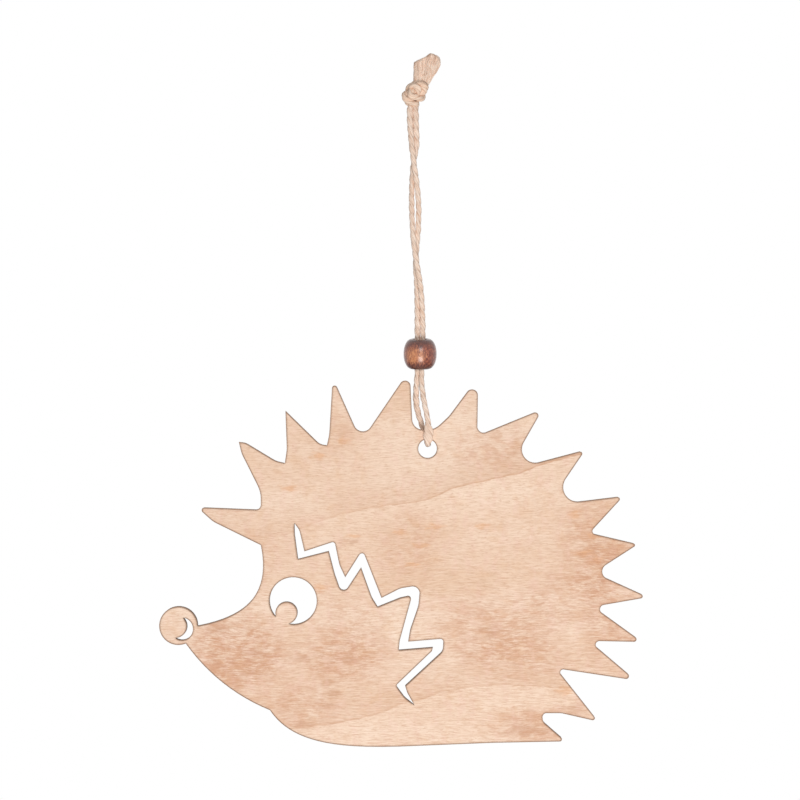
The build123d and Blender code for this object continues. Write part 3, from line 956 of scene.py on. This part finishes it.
# %% A place that drifts up and down along the plate, so that streaks read there run in slow waves
def wavy_place(wood, place, seed):
    slow = wood.noise(place, (38, 30, 24), detail=1, seed=seed + 8)
    drift = wood.math("MULTIPLY", wood.math("SUBTRACT", slow, 0.5), 4.5 * MM)
    return wood.node("VectorMath", {0: place, 1: wood.node("CombineXYZ", {"Z": drift}).outputs[0]}).outputs[0]


# %% The long streaks and the short flecks
def add_streaks(wood, wavy, seed, colour):
    """The colour with the streaks in it, and the streaks themselves for the bump."""
    streaks = wood.noise(wavy, (3.2, 4, 0.27), detail=3, roughness=0.72, seed=seed + 3)
    darkening = wood.ramp(streaks, [(0.30, shade(230, 220, 211)), (0.56, shade(255, 255, 255))])
    colour = wood.mix(1.0, colour, darkening, blend="MULTIPLY")
    flecks = wood.noise(wavy, (1.2, 1.0, 0.24), detail=2, seed=seed + 4)
    return wood.mix(wood.ramp(flecks, [(0.58, 0.0), (0.70, 0.55)]), colour, shade(208, 164, 134)), streaks


# %% Finer streaks, stronger in the lower half of the plate and where the grain is torn
def add_fine_streaks(wood, place, wavy, seed, colour, torn):
    height = wood.node("SeparateXYZ", {"Vector": place}).outputs["Z"]
    low_share = wood.span(height, -118 * MM, -150 * MM, 0.3, 1.0)
    fine = wood.noise(wavy, (5.0, 3, 0.32), detail=3, roughness=0.7, seed=seed + 10)
    pale_fine = wood.ramp(fine, [(0.36, 0.35), (0.47, 0.0)])
    dark_fine = wood.ramp(fine, [(0.53, 0.0), (0.66, 0.5)])
    for share, tint in ((pale_fine, (250, 227, 209)), (dark_fine, (206, 158, 128))):
        colour = wood.mix(wood.math("MULTIPLY", low_share, share), colour, shade(*tint))
    torn_streaks = wood.noise(wavy, (2.6, 3, 0.36), detail=3, roughness=0.7, seed=seed + 9)
    torn_streaks = wood.ramp(torn_streaks, [(0.46, 0.0), (0.64, 1.0)])
    return wood.mix(wood.math("MULTIPLY", torn_streaks, torn), colour, shade(200, 147, 117))


# %% [markdown]
# The laser leaves a thin scorched line round every edge. It could be drawn along the outline, but the bevel node finds
# it by itself: it bends the normal only near an edge, so the scorch follows each spine and cut-out. Where the normal
# faces neither the front nor the back, the surface is a cut wall, charred all over.


# %% The scorched edges and the charred walls
SCORCH_WIDTH = 1.15


def add_scorch(wood, colour):
    normal = wood.node("NewGeometry").outputs["Normal"]
    bent = wood.node("Bevel", {"Radius": SCORCH_WIDTH * MM}, samples=8).outputs[0]
    alike = wood.node("VectorMath", {0: normal, 1: bent}, operation="DOT_PRODUCT").outputs["Value"]
    colour = wood.mix(wood.ramp(alike, [(0.88, 0.9), (0.985, 0.0)]), colour, shade(134, 102, 80))
    across = wood.math("ABSOLUTE", wood.node("SeparateXYZ", {"Vector": normal}).outputs["Y"])
    return wood.mix(wood.math("LESS_THAN", across, 0.5), colour, shade(116, 88, 67))


# %% The whole face, layer by layer
def make_ply_face(name, seed, lines, zones, stains):
    wood = Finish(name, roughness=0.6, specular=0.2)
    place = wood.place()
    colour = grown_tone(wood, place, seed, lines)
    colour, torn = add_torn_zones(wood, place, seed, colour, zones)
    colour = add_stains(wood, place, seed, colour, stains)
    colour = add_mottles(wood, place, seed, colour)
    wavy = wavy_place(wood, place, seed)
    colour, streaks = add_streaks(wood, wavy, seed, colour)
    colour = add_fine_streaks(wood, place, wavy, seed, colour, torn)
    wood.colour(add_scorch(wood, colour))
    wood.bump(streaks, 0.015)
    print(name, "has", len(wood.tree.nodes), "nodes")
    return wood


ply_face = make_ply_face("light_ply_face", 2.0, FRONT_LINES, FRONT_ZONES, FRONT_STAINS)
ply_back = make_ply_face("light_ply_back", 31.0, BACK_LINES, BACK_ZONES, BACK_STAINS)

# %% [markdown]
# ### The plate's core
#
# The middle veneer lies across the others and shows only in the cut walls, where the laser has charred it, so one
# noise with a short grain is enough.

# %% Char the core
ply_core = Finish("scorched_core", roughness=0.75, specular=0.2)
char = ply_core.noise(ply_core.place(), (0.8, 0.25, 0.8), detail=3, roughness=0.6)
ply_core.colour(ply_core.ramp(char, [(0.30, shade(80, 57, 42)), (0.70, shade(118, 88, 64))]))
ply_core.bump(char, 0.05)

# %% Give each piece its finish
finishes = {"front_veneer": (ply_face, "ply_face"), "back_veneer": (ply_back, "ply_face"),
            "core_veneer": (ply_core, "ply_core")}
for name, (finish, slot_name) in finishes.items():
    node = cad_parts[name]
    node.data.materials.clear()
    node.data.materials.append(finish.material)
jute_of = {jute_twine: spun_jute, overhand_knot: knotted_jute, **{tail: frayed_jute for tail in frayed_tails}}
for piece, jute in jute_of.items():
    piece.data.materials.append(jute.material)
turned_bead.data.materials.append(bead_wood.material)
print("finishes:", sorted(material.name for material in bpy.data.materials if material.users))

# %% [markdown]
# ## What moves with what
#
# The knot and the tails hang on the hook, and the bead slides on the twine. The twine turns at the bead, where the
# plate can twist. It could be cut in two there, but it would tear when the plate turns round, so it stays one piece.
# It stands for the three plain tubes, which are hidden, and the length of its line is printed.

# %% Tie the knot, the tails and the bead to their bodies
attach(overhand_knot, "hanger")
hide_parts("twine_knot")
for tail, node in zip(frayed_tails, ("twine_left_tail", "twine_right_tail")):
    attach(tail, "hanger")
    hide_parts(node)
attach(turned_bead, "bead")
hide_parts("bead")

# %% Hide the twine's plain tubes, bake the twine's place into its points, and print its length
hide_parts("twine_left_strand", "twine_right_strand", "twine_hole_loop")
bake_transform(jute_twine)
print(f"the line of the hanging twine measures {free_length:.4f} m")

# %% [markdown]
# ## Floor, background and light
#
# The photograph has a plain white background. A white wall would have to be lit and would show its corners, so the
# world itself is white for the camera, and softer for the object. The bead mirrors two soft windows, one over the
# other, so two lamps stand in front: one a little above the ornament and one far below it. A third one lights the back
# and isn't mirrored in the bead. A pale floor lies under the ornament and takes its shadow.

# %% White world
ROOM_LIGHT = 0.31

world = bpy.data.worlds.new("white_room")
bpy.context.scene.world = world
world.use_nodes = True
tree = world.node_tree
background = tree.nodes["Background"]
background.inputs["Color"].default_value = (1, 1, 1, 1)
rays = tree.nodes.new("ShaderNodeLightPath")
seen = rays.outputs["Is Camera Ray"]
for ray in ("Is Glossy Ray", "Is Transmission Ray"):
    either = tree.nodes.new("ShaderNodeMath")
    either.operation = "MAXIMUM"
    tree.links.new(seen, either.inputs[0])
    tree.links.new(rays.outputs[ray], either.inputs[1])
    seen = either.outputs[0]
strength = tree.nodes.new("ShaderNodeMapRange")
strength.inputs["To Min"].default_value = ROOM_LIGHT
strength.inputs["To Max"].default_value = 1.0
tree.links.new(seen, strength.inputs["Value"])
tree.links.new(strength.outputs[0], background.inputs["Strength"])
print("the room lights the ornament at", ROOM_LIGHT, "and is white to the camera")


# %% Soft lamps
def soft_lamp(name, place, aim, size, power):
    data = bpy.data.lights.new(name, "AREA")
    data.shape = "RECTANGLE"
    data.size, data.size_y = size
    data.energy = power
    lamp = bpy.data.objects.new(name, data)
    bpy.context.scene.collection.objects.link(lamp)
    lamp.location = place
    lamp.rotation_euler = (Vector(aim) - Vector(place)).to_track_quat("-Z", "Y").to_euler()
    lamp.visible_camera = False
    print(f"{name}: {power} W")
    return lamp


ORNAMENT_MIDDLE = (0, 0, -0.1)
soft_lamp("high_lamp", (0.10, -1.05, 0.17), ORNAMENT_MIDDLE, (0.40, 0.34), 3.1)
soft_lamp("low_lamp", (0.05, -0.75, -0.48), ORNAMENT_MIDDLE, (0.40, 0.30), 3.8)
back_lamp = soft_lamp("back_lamp", (0.0, 1.1, 0.6), ORNAMENT_MIDDLE, (0.60, 0.60), 9.5)
back_lamp.visible_glossy = False

# %% Pale floor
FLOOR_Z, FLOOR_HALF = -1.05, 2.0

corners = [(x * FLOOR_HALF, y * FLOOR_HALF, FLOOR_Z) for x, y in ((-1, -1), (1, -1), (1, 1), (-1, 1))]
floor = make_object("floor", corners, [(0, 1, 2, 3)])
white = Finish("white_floor", roughness=0.9, specular=0.1)
white.colour((0.9, 0.9, 0.9, 1))
floor.data.materials.append(white.material)
floor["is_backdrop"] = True

# %% Plain colours, and the sizes for comparison
bpy.context.scene.view_settings.view_transform = "Standard"
bpy.context.view_layer.update()
seen_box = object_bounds()
for name, box in (("solids", solid_box), ("shown", seen_box)):
    print(name, [[round(value / MM, 1) for value in corner] for corner in box])
